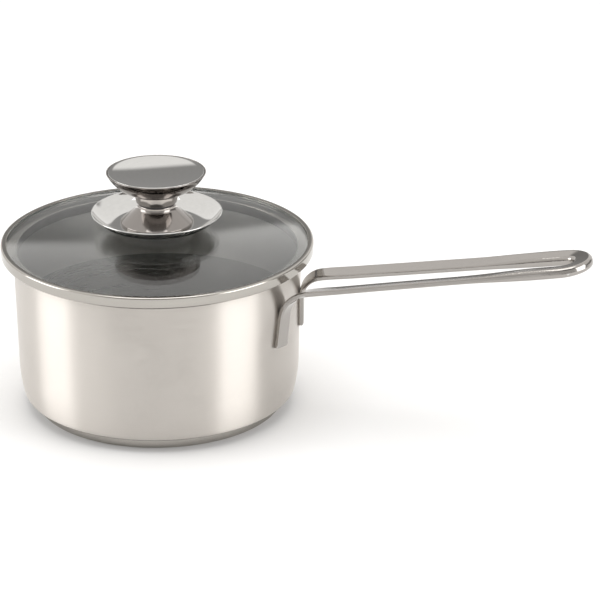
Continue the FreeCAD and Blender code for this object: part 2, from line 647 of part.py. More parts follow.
def under_gasket(glass):
    radius = UNDER_WASHER_RADIUS - UNDER_GASKET_RECESS
    return ring(GLASS_HOLE_RADIUS, radius, UNDER_WASHER_TOP, GLASS_UNDERSIDE).cut(glass)


def glass_bush():
    return ring(SCREW_RADIUS + BUSH_CLEARANCE, BUSH_RADIUS, UNDER_WASHER_TOP, SAUCER_BOTTOM)


def build():
    glass = lid_glass()
    return {
        "pan_shell": pan_shell(),
        "base_core": base_core(),
        "base_cover": base_cover(),
        "handle_loop": handle_loop(),
        "lid_glass": glass,
        "lid_band": lid_band(),
        "band_sealant": band_sealant(glass),
        "flange_gasket": flange_gasket(glass),
        "saucer_flange": saucer_flange(),
        "knob_cone": knob_cone(),
        "neck_ring": neck_ring(),
        "knob_boss": knob_boss(),
        "knob_cup": knob_cup(),
        "knob_top_dish": knob_top_dish(),
        "lid_screw": lid_screw(),
        "lock_washer": lock_washer(),
        "under_washer": under_washer(),
        "under_gasket": under_gasket(glass),
        "glass_bush": glass_bush(),
    }


os.makedirs("parts", exist_ok=True)
for name, shape in build().items():
    box = shape.optimalBoundingBox()
    print(f"{name:15s} solids {len(shape.Solids)} valid {shape.isValid()} volume {shape.Volume:10.1f} "
          f"x {box.XMin:7.2f} {box.XMax:7.2f}  z {box.ZMin:7.2f} {box.ZMax:7.2f}")
    shape.exportStep(f"parts/{name}.step")
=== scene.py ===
# %% [markdown]
# # A saucepan with a glass lid
#
# This lesson dresses a finished design. The sizes, the places and the one motion (the lid lifts off) are
# already fixed, so the work here is shape quality and finish: polished sheet steel, a bent bar handle,
# clear tempered glass and a turned knob. First comes the frame: every piece of the design as a mesh in
# its true place, in metres, with the pan's base on the floor, Z up, and the handle along X.

# %% Load the frame
import math

import bmesh
import bpy
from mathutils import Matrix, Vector


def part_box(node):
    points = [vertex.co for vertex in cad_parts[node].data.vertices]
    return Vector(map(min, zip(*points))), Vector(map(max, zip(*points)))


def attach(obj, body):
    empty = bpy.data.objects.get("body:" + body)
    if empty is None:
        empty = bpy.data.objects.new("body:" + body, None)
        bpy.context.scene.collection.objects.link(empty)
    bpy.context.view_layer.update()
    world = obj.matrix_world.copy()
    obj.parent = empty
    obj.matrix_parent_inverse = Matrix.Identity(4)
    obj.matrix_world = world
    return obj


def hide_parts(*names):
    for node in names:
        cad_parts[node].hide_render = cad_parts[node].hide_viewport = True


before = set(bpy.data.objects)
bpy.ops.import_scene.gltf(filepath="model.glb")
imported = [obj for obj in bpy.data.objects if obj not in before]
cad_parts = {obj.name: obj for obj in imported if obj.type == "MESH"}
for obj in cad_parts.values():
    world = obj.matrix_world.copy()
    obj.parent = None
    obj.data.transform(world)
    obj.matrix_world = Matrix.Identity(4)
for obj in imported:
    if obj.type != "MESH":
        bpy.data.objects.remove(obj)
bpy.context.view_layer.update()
MM = 0.001

# %% [markdown]
# ## Camera
#
# Product pictures of cookware are taken from far away with a long lens, so that the rims stay calm
# ellipses and the handle doesn't balloon. The camera looks down a little over twenty degrees, which
# shows the lid's glass as well as the wall. It could be aimed with a Track To constraint, but two plain
# angles are easier to read and to repeat.

# %% Camera
CAMERA_AZIMUTH = math.radians(-70)     # the pan's handle points right and slightly towards the viewer
CAMERA_REACH = 1.5972                  # from the pan's axis, measured along the floor
CAMERA_HEIGHT = 0.7153
CAMERA_TILT = math.radians(67.672)
CAMERA_TURN = math.radians(17.111)
LENS = 181.94

camera = bpy.data.objects.new("camera", bpy.data.cameras.new("camera"))
bpy.context.scene.collection.objects.link(camera)
camera.location = (CAMERA_REACH * math.cos(CAMERA_AZIMUTH), CAMERA_REACH * math.sin(CAMERA_AZIMUTH),
                   CAMERA_HEIGHT)
camera.rotation_euler = (CAMERA_TILT, 0, CAMERA_TURN)
camera.data.lens = LENS
camera.data.sensor_width = 36
bpy.context.scene.camera = camera
print("camera is", round(camera.location.length, 3), "m from the base")

# %% [markdown]
# ## Small tools for node trees
#
# A material is a graph. Three short helpers keep the graphs readable: one adds a node with its settings
# and its input values, one does a step of arithmetic, and one makes a node group with named sockets. A
# value may be a number, a colour or another node's output.

# %% Node helpers
def feed(tree, socket, value):
    if isinstance(value, bpy.types.NodeSocket):
        tree.links.new(value, socket)
    else:
        socket.default_value = value


def add(tree, kind, settings=None, **values):
    """A new node. settings are its own options, and values go to its inputs, by name with _ for a space."""
    made = tree.nodes.new(kind)
    for option, choice in (settings or {}).items():
        setattr(made, option, choice)
    for label, value in values.items():
        feed(tree, made.inputs[label.replace("_", " ")], value)
    return made


def calc(tree, operation, first, second=0.0, third=0.0):
    step = tree.nodes.new("ShaderNodeMath")
    step.operation = operation
    for socket, value in zip(step.inputs, (first, second, third)):
        feed(tree, socket, value)
    return step.outputs[0]


def ramp(tree, value, low, high, start=0.0, end=1.0):
    """An even S-curve from start, where value is low, to end, where it is high."""
    step = tree.nodes.new("ShaderNodeMapRange")
    step.interpolation_type = "SMOOTHSTEP"
    for socket, given in zip(step.inputs, (value, low, high, start, end)):
        feed(tree, socket, given)
    return step.outputs[0]


def mix(tree, share, first, second):
    step = tree.nodes.new("ShaderNodeMix")
    step.data_type = "RGBA"
    for label, given in (("Factor", share), ("A", first), ("B", second)):
        socket = next(s for s in step.inputs if s.name == label and s.enabled)
        feed(tree, socket, given)
    return next(s for s in step.outputs if s.enabled)


def grey(level):
    return (level, level, level, 1)


def new_group(name, inputs, outputs):
    """A shader node group. inputs and outputs are {label: start value}; a tuple makes a vector socket."""
    group = bpy.data.node_groups.new(name, "ShaderNodeTree")
    for labels, way in ((inputs, "INPUT"), (outputs, "OUTPUT")):
        for label, value in labels.items():
            kind = "NodeSocketVector" if isinstance(value, tuple) else "NodeSocketFloat"
            socket = group.interface.new_socket(label, in_out=way, socket_type=kind)
            socket.default_value = value
    return group, group.nodes.new("NodeGroupInput").outputs, group.nodes.new("NodeGroupOutput").inputs


def place(tree, group, **values):
    """Puts a node group into a material, with this material's own values."""
    made = tree.nodes.new("ShaderNodeGroup")
    made.node_tree = group
    for label, value in values.items():
        feed(tree, made.inputs[label.replace("_", " ")], value)
    return made.outputs


# %% [markdown]
# ## Studio
#
# Polished steel has almost no colour of its own: it shows what stands around it. So the studio is the
# first part of the finish. The floor is a plain pale sheet. Soft boxes stand to the left and right and one
# hangs above; they give the white bands on the wall. Glowing planes could do the same work, but an area
# light is sized, aimed and tuned in fewer steps.

# %% Floor and soft boxes
FLOOR_HALF = 4.0
BACK = math.radians(107.1)             # the direction straight away from the viewer


def pale_floor():
    mesh = bpy.data.meshes.new("floor")
    corners = [(-FLOOR_HALF, -FLOOR_HALF, 0), (FLOOR_HALF, -FLOOR_HALF, 0), (FLOOR_HALF, FLOOR_HALF, 0),
               (-FLOOR_HALF, FLOOR_HALF, 0)]
    mesh.from_pydata(corners, [], [(0, 1, 2, 3)])
    floor = bpy.data.objects.new("floor", mesh)
    bpy.context.scene.collection.objects.link(floor)
    paint = bpy.data.materials.new("pale_floor")
    paint.use_nodes = True
    tree = paint.node_tree
    speckle = add(tree, "ShaderNodeTexNoise", Scale=3.0, Detail=2.0).outputs["Fac"]
    shader = tree.nodes["Principled BSDF"]
    feed(tree, shader.inputs["Base Color"], mix(tree, speckle, grey(0.86), grey(0.9)))
    shader.inputs["Roughness"].default_value = 0.9
    shader.inputs["Specular IOR Level"].default_value = 0.2
    mesh.materials.append(paint)
    return floor


def soft_box(name, turn_deg, distance, height, width, tall, watts):
    """A rectangular light that faces the pan; turn_deg is measured from straight behind, leftwards."""
    light = bpy.data.lights.new(name, "AREA")
    light.shape = "RECTANGLE"
    light.size = width
    light.size_y = tall
    light.energy = watts
    lamp = bpy.data.objects.new(name, light)
    bpy.context.scene.collection.objects.link(lamp)
    angle = BACK + math.radians(turn_deg)
    lamp.location = (distance * math.cos(angle), distance * math.sin(angle), height)
    aim = Vector((0, 0, 0.06)) - lamp.location
    lamp.rotation_euler = aim.to_track_quat("-Z", "Y").to_euler()
    return lamp


pale_floor()
soft_box("box_left", 94, 1.5, 0.55, 0.95, 1.0, 9)
soft_box("box_right", -113, 1.5, 0.55, 0.95, 1.0, 9)
soft_box("box_above", 180, 0.15, 1.9, 1.3, 1.3, 12)


# %% [markdown]
# ## Room
#
# Where no box is seen, the steel and the glass show the room. It is light all round, greyer on the
# viewer's side, and dimmer above the viewer and low on the right. One soft dim backdrop stands behind the
# pan, so that the hollow top of the knob shows a light part and a dark part. A painted picture of a studio
# could light the scene too, but a few soft zones laid out by direction are enough and can be tuned one at
# a time. Each zone is a mask between 0 and 1 that pulls the level towards its own light.

# %% Room
ROOM_LIGHT = 1.1
FRONT_LIGHT = 0.7
ABOVE_VIEWER_LIGHT = 0.25
LOW_RIGHT_LIGHT = 0.4
BACKDROP_TURN = 5.0                    # degrees left of the middle of the view
BACKDROP_HALF_WIDTH = 14.0
BACKDROP_HEIGHT = 30.0
BACKDROP_LIGHT = 0.35
# Where the zones lie, in degrees: turned left from straight ahead, or up from level.
FRONT_FADE = (125, 150)
ABOVE_VIEWER_SPAN = (40, 80)
LOW_RIGHT_SPAN = (-84, -45)
LOW_RIGHT_FADE = (18, 28)


def window(tree, value, low, high, soft):
    """1 between low and high, and 0 outside, with soft edges."""
    return calc(tree, "MULTIPLY", ramp(tree, value, low - soft, low),
                ramp(tree, value, high, high + soft, 1, 0))


def blend_level(tree, share, first, second):
    """first where share is 0, second where it is 1."""
    return calc(tree, "MULTIPLY_ADD", share, calc(tree, "SUBTRACT", second, first), first)


def room():
    """The light from the room itself, by direction."""
    world = bpy.data.worlds.new("room")
    bpy.context.scene.world = world
    world.use_nodes = True
    tree = world.node_tree
    direction = add(tree, "ShaderNodeTexCoord").outputs["Generated"]
    axes = add(tree, "ShaderNodeSeparateXYZ", Vector=direction).outputs
    ahead = calc(tree, "ADD", calc(tree, "MULTIPLY", axes["X"], math.cos(BACK)),
                 calc(tree, "MULTIPLY", axes["Y"], math.sin(BACK)))
    left = calc(tree, "SUBTRACT", calc(tree, "MULTIPLY", axes["Y"], math.cos(BACK)),
                calc(tree, "MULTIPLY", axes["X"], math.sin(BACK)))
    turn = calc(tree, "DEGREES", calc(tree, "ARCTAN2", left, ahead))
    rise = calc(tree, "DEGREES", calc(tree, "ARCSINE", axes["Z"]))
    aside = calc(tree, "ABSOLUTE", turn)
    # From the viewer's side the room is greyer, and darkest above the viewer.
    facing = ramp(tree, aside, *FRONT_FADE)
    above_viewer = calc(tree, "MULTIPLY", facing, window(tree, rise, *ABOVE_VIEWER_SPAN, 5))
    level = calc(tree, "MULTIPLY_ADD", facing, FRONT_LIGHT - ROOM_LIGHT, ROOM_LIGHT)
    level = blend_level(tree, above_viewer, level, ABOVE_VIEWER_LIGHT)
    # Low down on the right it is dimmer, which shades the wall's right edge.
    low_right = calc(tree, "MULTIPLY", window(tree, turn, *LOW_RIGHT_SPAN, 10),
                     ramp(tree, rise, *LOW_RIGHT_FADE, 1, 0))
    level = blend_level(tree, low_right, level, LOW_RIGHT_LIGHT)
    # One dim backdrop straight behind, soft all round, gives the polished tops something to show.
    across = calc(tree, "DIVIDE", calc(tree, "SUBTRACT", turn, BACKDROP_TURN), BACKDROP_HALF_WIDTH)
    high = calc(tree, "DIVIDE", rise, BACKDROP_HEIGHT)
    distance = calc(tree, "SQRT", calc(tree, "MULTIPLY_ADD", across, across,
                                       calc(tree, "MULTIPLY", high, high)))
    level = blend_level(tree, ramp(tree, distance, 0.85, 1.0, 1, 0), level, BACKDROP_LIGHT)
    sky = tree.nodes["Background"]
    sky.inputs["Color"].default_value = (1.0, 0.985, 0.965, 1)
    feed(tree, sky.inputs["Strength"], level)


room()
bpy.context.scene.view_settings.view_transform = "Standard"

# %% [markdown]
# ## Shared effects
#
# Steel that was spun, brushed or polished carries marks that run round the axis or along it. One group
# makes them all: it stretches a noise by three amounts (round, outwards and up), and reads the way round
# as a direction and not as an angle, so there is no seam. A second group makes soft smudges, the film
# that hands and dish towels leave. A third finds edges that stick out, where polish is brightest.

# %% Shader groups
def turned_grain_group():
    """Noise that follows a turned piece: large Out gives rings, large Round gives lines along the axis."""
    tree, given, out = new_group("turned_grain", {"Round": 4.0, "Out": 400.0, "Up": 400.0, "Detail": 3.0},
                                 {"Grain": 0.5})
    axes = add(tree, "ShaderNodeSeparateXYZ", Vector=add(tree, "ShaderNodeTexCoord").outputs["Object"]).outputs
    radius = calc(tree, "SQRT", calc(tree, "MULTIPLY_ADD", axes["X"], axes["X"],
                                     calc(tree, "MULTIPLY_ADD", axes["Y"], axes["Y"], 1e-9)))
    spread = calc(tree, "MULTIPLY_ADD", radius, given["Out"], calc(tree, "MULTIPLY", axes["Z"], given["Up"]))
    where = add(tree, "ShaderNodeCombineXYZ")
    for axis in ("X", "Y"):
        way_round = calc(tree, "DIVIDE", axes[axis], radius)
        feed(tree, where.inputs[axis], calc(tree, "MULTIPLY", way_round, given["Round"]))
    feed(tree, where.inputs["Z"], spread)
    noise = add(tree, "ShaderNodeTexNoise", Vector=where.outputs[0], Scale=1.0, Detail=given["Detail"])
    feed(tree, out["Grain"], noise.outputs["Fac"])
    return tree


def smudge_group():
    """Soft patches, with a few wiped streaks inside them."""
    tree, given, out = new_group("smudges", {"Scale": 25.0, "Cover": 0.4}, {"Mask": 0.0})
    where = add(tree, "ShaderNodeTexCoord").outputs["Object"]
    patch = add(tree, "ShaderNodeTexNoise", Vector=where, Scale=given["Scale"], Detail=3.0).outputs["Fac"]
    fine = add(tree, "ShaderNodeTexNoise", Vector=where, Scale=calc(tree, "MULTIPLY", given["Scale"], 9.0),
               Detail=4.0, Distortion=1.5).outputs["Fac"]
    low = calc(tree, "SUBTRACT", 0.75, given["Cover"])
    soft = ramp(tree, patch, low, calc(tree, "ADD", low, 0.25))
    feed(tree, out["Mask"], calc(tree, "MULTIPLY", soft, ramp(tree, fine, 0.3, 0.75, 0.35, 1.0)))
    return tree


def edge_group():
    """1 on edges that stick out, 0 on flats and in corners."""
    tree, given, out = new_group("edge_shine", {"Start": 0.52, "Full": 0.62}, {"Mask": 0.0})
    bend = add(tree, "ShaderNodeNewGeometry").outputs["Pointiness"]
    feed(tree, out["Mask"], ramp(tree, bend, given["Start"], given["Full"]))
    return tree


turned_grain = turned_grain_group()
smudges = smudge_group()
edge_shine = edge_group()
print("shader groups:", [g.name for g in bpy.data.node_groups])

# %% [markdown]
# ## Steel
#
# Every steel part is the same alloy, so one recipe makes them all and each finish only changes the
# numbers: how warm and how light the metal is, how rough, how strong its grain and in which direction the
# polishing marks run. Some parts are set darker or lighter than real steel as painted shade or painted
# light; the comment or name at each such finish says so. Marks that run round a wall smear reflections up
# and down it, which is why a pan's wall shows upright bands. The Principled shader has this as anisotropy;
# its tangent follows the axis, and a quarter turn puts the smear across the marks.

# %% Steel recipe
WARM_STEEL = (0.66, 0.625, 0.585)
COOL_STEEL = (0.62, 0.615, 0.60)
ACROSS_THE_MARKS = 0.25


def steel(name, colour, rough, marks, smear=0.0, mark_depth=0.02, mark_share=0.3, film=0.3, variation=0.05):
    """A polished or brushed steel. marks are the grain's (round, out, up) stretches."""
    material = bpy.data.materials.new(name)
    material.use_nodes = True
    tree = material.node_tree
    shader = tree.nodes["Principled BSDF"]
    shader.inputs["Metallic"].default_value = 1.0
    shader.inputs["Anisotropic"].default_value = smear
    shader.inputs["Anisotropic Rotation"].default_value = ACROSS_THE_MARKS
    grain = place(tree, turned_grain, Round=marks[0], Out=marks[1], Up=marks[2])["Grain"]
    wiped = place(tree, smudges, Scale=18.0, Cover=film)["Mask"]
    edge = place(tree, edge_shine)["Mask"]
    dull = [channel * (1 - variation) for channel in colour] + [1]
    bright = [min(channel * (1 + variation), 1.0) for channel in colour] + [1]
    tone = mix(tree, grain, dull, bright)
    tone = mix(tree, calc(tree, "MULTIPLY", wiped, 0.25), tone, [channel * 0.9 for channel in colour] + [1])
    tone = mix(tree, calc(tree, "MULTIPLY", edge, 0.5), tone, grey(0.8))
    feed(tree, shader.inputs["Base Color"], tone)
    texture = calc(tree, "MULTIPLY_ADD", grain, rough * mark_share, rough * (1 - mark_share / 2))
    feed(tree, shader.inputs["Roughness"], calc(tree, "MULTIPLY_ADD", wiped, 0.03, texture))
    bump = add(tree, "ShaderNodeBump", Strength=0.6, Distance=mark_depth * MM, Height=grain)
    feed(tree, shader.inputs["Normal"], bump.outputs[0])
    if smear:
        around = add(tree, "ShaderNodeTangent", {"direction_type": "RADIAL", "axis": "Z"})
        feed(tree, shader.inputs["Tangent"], around.outputs[0])
    return material


wall_polish = steel("wall_polish", WARM_STEEL, 0.38, (3, 700, 700),
                    smear=1.0, mark_depth=0.006, variation=0.02)
# The lower inner wall's steel is set darker than real steel: painted shade for the inside of a deep pan.
inside_brushed_painted_shade = steel("inside_brushed_painted_shade", (0.36, 0.355, 0.345), 0.28, (2, 900, 900),
                       smear=0.85, mark_depth=0.003, variation=0.05)
# The top of the inner wall is set lighter than real steel: painted light under the rim.
inside_upper_painted_light = steel("inside_upper_painted_light", (0.74, 0.725, 0.70), 0.30, (2, 900, 900),
                     smear=0.85, mark_depth=0.003, variation=0.04)
# The floor's steel is set far darker than real steel: painted shade for the bottom of a deep pan.
floor_brushed_painted_shade = steel("floor_brushed_painted_shade", (0.065, 0.063, 0.06), 0.28, (2, 900, 900),
                      smear=0.8, mark_depth=0.001, mark_share=0.15, variation=0.05)
shaded_steel = steel("shaded_steel", (0.13, 0.125, 0.12), 0.25, (6, 300, 300))
rim_polish = steel("rim_polish", WARM_STEEL, 0.08, (6, 300, 300))
base_polish = steel("base_polish", (0.46, 0.435, 0.405), 0.20, (2, 1200, 1200), smear=0.8, variation=0.08)
band_polish = steel("band_polish", (0.43, 0.41, 0.38), 0.12, (3, 500, 500), smear=0.5)
saucer_mirror = steel("saucer_mirror", COOL_STEEL, 0.06, (8, 500, 500), mark_depth=0.002, film=0.35)
# The cone, collar and cup steel is set darker than real steel: painted shade that stands in for their dim
# reflections.
bell_polish_painted_shade = steel("bell_polish_painted_shade", (0.28, 0.26, 0.245), 0.09, (8, 500, 500), mark_depth=0.003, film=0.35)
dish_mirror = steel("dish_mirror", COOL_STEEL, 0.05, (3, 700, 0), mark_depth=0.002)
# The handle's steel is set darker than real steel: painted shade that stands in for its dim reflections.
handle_polish_painted_shade = steel("handle_polish_painted_shade", (0.37, 0.35, 0.33), 0.08, (90, 60, 900), mark_depth=0.004)
stamped_steel = steel("stamped_steel", COOL_STEEL, 0.32, (30, 60, 60), variation=0.1)
print("steels:", [m.name for m in bpy.data.materials])

# %% [markdown]
# ## Glass
#
# The lid is clear tempered glass. Its faint green only shows where light travels far through it, at the
# edge, so the tint belongs in the volume and not on the surface. Water marks and dust make it a little
# rougher in places.

# %% Glass
def clear_glass():
    material = bpy.data.materials.new("clear_glass")
    material.use_nodes = True
    tree = material.node_tree
    shader = tree.nodes["Principled BSDF"]
    shader.inputs["Transmission Weight"].default_value = 1.0
    shader.inputs["IOR"].default_value = 1.5
    marks = place(tree, smudges, Scale=30.0, Cover=0.25)["Mask"]
    feed(tree, shader.inputs["Base Color"], mix(tree, marks, (1, 1, 1, 1), (0.96, 0.98, 0.97, 1)))
    feed(tree, shader.inputs["Roughness"], calc(tree, "MULTIPLY", marks, 0.012))
    tint = add(tree, "ShaderNodeVolumeAbsorption", Color=(0.72, 0.90, 0.82, 1), Density=9.0)
    feed(tree, tree.nodes["Material Output"].inputs["Volume"], tint.outputs[0])
    return material


glass = clear_glass()
print("glass:", glass.name)

# %% [markdown]
# ## Rubber, silicone and aluminium
#
# The seals are silicone, the thin ring in the knob is black rubber, and the heat-spreading disc inside the
# base's cap is raw aluminium. All are dull and slightly mottled, so one function makes them: one noise
# drives the colour, the roughness and a faint pebbled bump together, as it does on a cast or moulded
# surface, and only the two tones and the size of the mottle change.

# %% Rubber, silicone and aluminium
def dull_material(name, dark, light, rough, scale, metal=0.0):
    """Rubber or raw metal: a mottled colour, an uneven roughness and a faint pebbled surface."""
    material = bpy.data.materials.new(name)
    material.use_nodes = True
    tree = material.node_tree
    shader = tree.nodes["Principled BSDF"]
    shader.inputs["Metallic"].default_value = metal
    where = add(tree, "ShaderNodeTexCoord").outputs["Object"]
    mottle = add(tree, "ShaderNodeTexNoise", Vector=where, Scale=scale, Detail=5.0).outputs["Fac"]
    edge = place(tree, edge_shine)["Mask"]
    tone = mix(tree, mottle, dark, light)
    feed(tree, shader.inputs["Base Color"], mix(tree, calc(tree, "MULTIPLY", edge, 0.4), tone, light))
    feed(tree, shader.inputs["Roughness"], calc(tree, "MULTIPLY_ADD", mottle, 0.2, rough - 0.1))
    bump = add(tree, "ShaderNodeBump", Strength=0.3, Distance=0.05 * MM, Height=mottle)
    feed(tree, shader.inputs["Normal"], bump.outputs[0])
    return material


silicone = dull_material("silicone", (0.30, 0.31, 0.31, 1), (0.44, 0.45, 0.44, 1), 0.5, 300)
sealant = dull_material("sealant", (0.42, 0.43, 0.43, 1), (0.55, 0.56, 0.55, 1), 0.45, 400)
black_rubber = dull_material("black_rubber", (0.012, 0.012, 0.013, 1), (0.03, 0.03, 0.032, 1), 0.4, 500)
aluminium = dull_material("aluminium", (0.62, 0.62, 0.63, 1), (0.78, 0.78, 0.79, 1), 0.42, 700, metal=1.0)
print("dull finishes:", silicone.name, sealant.name, black_rubber.name, aluminium.name)

# %% [markdown]
# ## Turning on the lathe
#
# The shell, the band, the glass and the whole knob are round, so each is an outline turned about the
# axis, just as the real ones are pressed or turned on one. Blender's Screw modifier does this from a
# curve, but a mesh made ring by ring lets each stretch of the outline have its own finish and keeps the
# rings evenly spaced, which matters on polished steel: reflections show every uneven face. An outline is
# a list of corners, each with its rounding, because no edge on a real pan is perfectly sharp.

# %% Outline and lathe helpers
SEGMENTS = 240
ARC_STEP = math.radians(9)
LONG_ARC = 8                           # millimetres; a longer arc is cut finer
LONG_ARC_STEPS = 16
SHARP = math.radians(32)


def on_circle(centre, radius, degrees):
    angle = math.radians(degrees)
    return Vector((centre[0] + radius * math.cos(angle), centre[1] + radius * math.sin(angle)))


def arc(centre, radius, start_deg, end_deg):
    """Points of an arc, both ends included; angles are measured outwards from the axis."""
    steps = max(3, math.ceil(abs(math.radians(end_deg - start_deg)) / ARC_STEP))
    if radius * abs(math.radians(end_deg - start_deg)) > LONG_ARC:
        steps = max(steps, LONG_ARC_STEPS)
    return [on_circle(centre, radius, start_deg + (end_deg - start_deg) * step / steps)
            for step in range(steps + 1)]


def rounded(corners, closed=True):
    """Points of an outline through corners (radius, height, rounding), in millimetres."""
    points = []
    count = len(corners)
    for index, (radius, height, rounding) in enumerate(corners):
        here = Vector((radius, height))
        if rounding == 0 or (not closed and index in (0, count - 1)):
            points.append(here)
            continue
        before = (Vector(corners[index - 1][:2]) - here).normalized()
        after = (Vector(corners[(index + 1) % count][:2]) - here).normalized()
        half = before.angle(after) / 2
        centre = here + (before + after).normalized() * (rounding / math.sin(half))
        start = here + before * (rounding / math.tan(half)) - centre
        end = here + after * (rounding / math.tan(half)) - centre
        first = math.degrees(math.atan2(start.y, start.x))
        turn = (math.degrees(math.atan2(end.y, end.x)) - first + 180) % 360 - 180
        points.extend(arc(centre, rounding, first, first + turn))
    return points


def lathe(name, stretches, materials):
    """Turns stretches of outline about the axis. Each stretch is (points, number of its material)."""
    points = []
    finishes = []
    for outline, finish in stretches:
        for point in outline:
            if points and (point - points[-1]).length < 1e-4:
                continue
            points.append(point)
            finishes.append(finish)
    if (points[0] - points[-1]).length < 1e-4:
        points.pop()
        finishes.pop()
    shell = bmesh.new()
    rings = []
    for point in points:
        if point.x < 1e-6:
            rings.append([shell.verts.new((0, 0, point.y * MM))] * SEGMENTS)
            continue
        angles = [2 * math.pi * segment / SEGMENTS for segment in range(SEGMENTS)]
        rings.append([shell.verts.new((point.x * MM * math.cos(a), point.x * MM * math.sin(a), point.y * MM))
                      for a in angles])
    open_ended = points[0].x < 1e-6
    for index in range(len(rings) - 1 if open_ended else len(rings)):
        here, there = rings[index], rings[(index + 1) % len(rings)]
        for segment in range(SEGMENTS):
            following = (segment + 1) % SEGMENTS
            loop = [here[segment], here[following], there[following], there[segment]]
            corners = list(dict.fromkeys(loop))
            if len(corners) > 2:
                shell.faces.new(corners).material_index = finishes[(index + 1) % len(finishes)]
    bmesh.ops.recalc_face_normals(shell, faces=shell.faces)
    mesh = bpy.data.meshes.new(name)
    shell.to_mesh(mesh)
    shell.free()
    mesh.shade_smooth()
    mesh.set_sharp_from_angle(angle=SHARP)
    for material in materials:
        mesh.materials.append(material)
    piece = bpy.data.objects.new(name, mesh)
    bpy.context.scene.collection.objects.link(piece)
    return piece


def fit(piece, body, node):
    """The piece stands for a design node and moves with its body."""
    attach(piece, body)
    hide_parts(node)
    low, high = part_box(node)
    top = max(v.co.z for v in piece.data.vertices)
    wide = max(v.co.x for v in piece.data.vertices)
    print(f"{piece.name}: radius {wide / MM:.2f} of {high.x / MM:.2f}, "
          f"top {top / MM:.2f} of {high.z / MM:.2f} mm")
    return piece


def measures(node):
    """Outside radius, lowest and highest height of a round design node, in millimetres."""
    low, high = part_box(node)
    return high.x / MM, low.z / MM, high.z / MM


# %% [markdown]
# ## The pan's shell
#
# A disc of sheet steel is drawn through a ring into a deep cup, then its rim is flared so that it pours
# cleanly. The wall leans out a little, curves in over its lowest part and turns tightly into the floor.
# Outside it is polished as it spins, inside it keeps a finer brushed finish, and the rim is bright. Some
# finishes are darker than real steel, as painted shade: under the rim and the heel for the shade in a
# narrow gap, and on the floor and the lower inner wall for the shade inside a deep pan. The top strips of
# the inner wall are lighter than real steel, as painted light. The height where the inner wall turns
# lighter is a guess.

# %% Pan shell
SHEET = 0.7
WALL_LEAN = 1.3                        # degrees
MOUTH_RADIUS = 80.5
RIM_BEND = 2.0
BELLY_START = 19.4                     # above the shell's underside
BELLY_RADIUS = 76.0
HEEL_RADIUS = 4.3
LIGHT_STRIPS = 3                       # strips of the inner wall, under the rim, in the lighter steel that is painted light


def shell_side(depth, rim_radius, bottom, top):
    """One surface of the sheet from the axis to the rim, depth inside its outer face."""
    lean = math.radians(WALL_LEAN)
    bend_height = top - SHEET - RIM_BEND

    def wall(height):
        return MOUTH_RADIUS + SHEET - (bend_height - height) * math.tan(lean)

    start = bottom + BELLY_START
    belly = (wall(start) - BELLY_RADIUS * math.cos(lean), start + BELLY_RADIUS * math.sin(lean))
    heel_height = bottom + HEEL_RADIUS
    drop = belly[1] - heel_height
    across = math.sqrt((BELLY_RADIUS - HEEL_RADIUS) ** 2 - drop ** 2)
    heel = (belly[0] + across, heel_height)
    touch = -math.degrees(math.atan2(drop, across))
    rim = (wall(bend_height) + RIM_BEND / math.cos(lean), bend_height)
    flat = [Vector((heel[0] * step / 8, bottom + depth)) for step in range(8)]
    turn = arc(heel, HEEL_RADIUS - depth, -90, touch)
    half = len(turn) // 2
    wall_side = turn[half:] + arc(belly, BELLY_RADIUS - depth, touch, -WALL_LEAN)
    high = arc(rim, RIM_BEND + depth, 180 - WALL_LEAN, 90)
    lip = Vector((rim_radius - SHEET / 2, bend_height + RIM_BEND + depth))
    straight = [wall_side[-1].lerp(high[0], step / 6) for step in range(1, 6)]
    return flat + turn[:half + 1], wall_side + straight + high[:1], high + [lip]


def pan_shell():
    rim_radius, bottom, top = measures("pan_shell")
    outer_foot, outer_wall, outer_rim = shell_side(0, rim_radius, bottom, top)
    floor, inner_wall, inner_rim = shell_side(SHEET, rim_radius, bottom, top)
    edge = arc((rim_radius - SHEET / 2, top - SHEET / 2), SHEET / 2, -90, 90)
    stretches = [(outer_foot, 3), (outer_wall, 0), (outer_rim, 3), (outer_rim[-1:] + edge + inner_rim[::-1], 2),
                 (inner_wall[-LIGHT_STRIPS - 1:][::-1], 5), (inner_wall[:-LIGHT_STRIPS][::-1], 1),
                 (floor[::-1], 4)]
    finishes = [wall_polish, inside_brushed_painted_shade, rim_polish, shaded_steel, floor_brushed_painted_shade, inside_upper_painted_light]
    piece = lathe("shell", stretches, finishes)
    return fit(piece, "pan", "pan_shell")


pan_shell()

# %% [markdown]
# ## The base
#
# Under the shell sits a thick aluminium disc that spreads the heat, pressed into a thin steel cap. The
# cap's side shows as a narrow bright ring below a fine seam. Its underside is faced on a lathe, so it is
# covered in fine rings, with one shallow step near the edge that keeps the base from rocking.

# %% Base cap and core
CAP_SHEET = 0.5
CAP_EDGE = 1.6
STEP_RADIUS = 12.0                     # the step's distance in from the cap's side
STEP_RISE = 0.25


def base_cap():
    radius, bottom, top = measures("base_cover")
    inner = radius - CAP_SHEET
    foot = radius - STEP_RADIUS
    below = [(0, bottom + STEP_RISE, 0), (foot - 1, bottom + STEP_RISE, 0.8), (foot, bottom, 0.8),
             (radius, bottom, CAP_EDGE), (radius, top, 0.15), (inner, top, 0.15),
             (inner, bottom + CAP_SHEET, CAP_EDGE - CAP_SHEET), (0, bottom + CAP_SHEET, 0)]
    piece = lathe("base_cap", [(rounded(below), 0)], [base_polish])
    return fit(piece, "pan", "base_cover")


base_cap()


def finish_node(node, material):
    """A design piece whose own mesh is right keeps it, and only gets its finish."""
    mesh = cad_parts[node].data
    mesh.materials.clear()
    mesh.materials.append(material)


finish_node("base_core", aluminium)

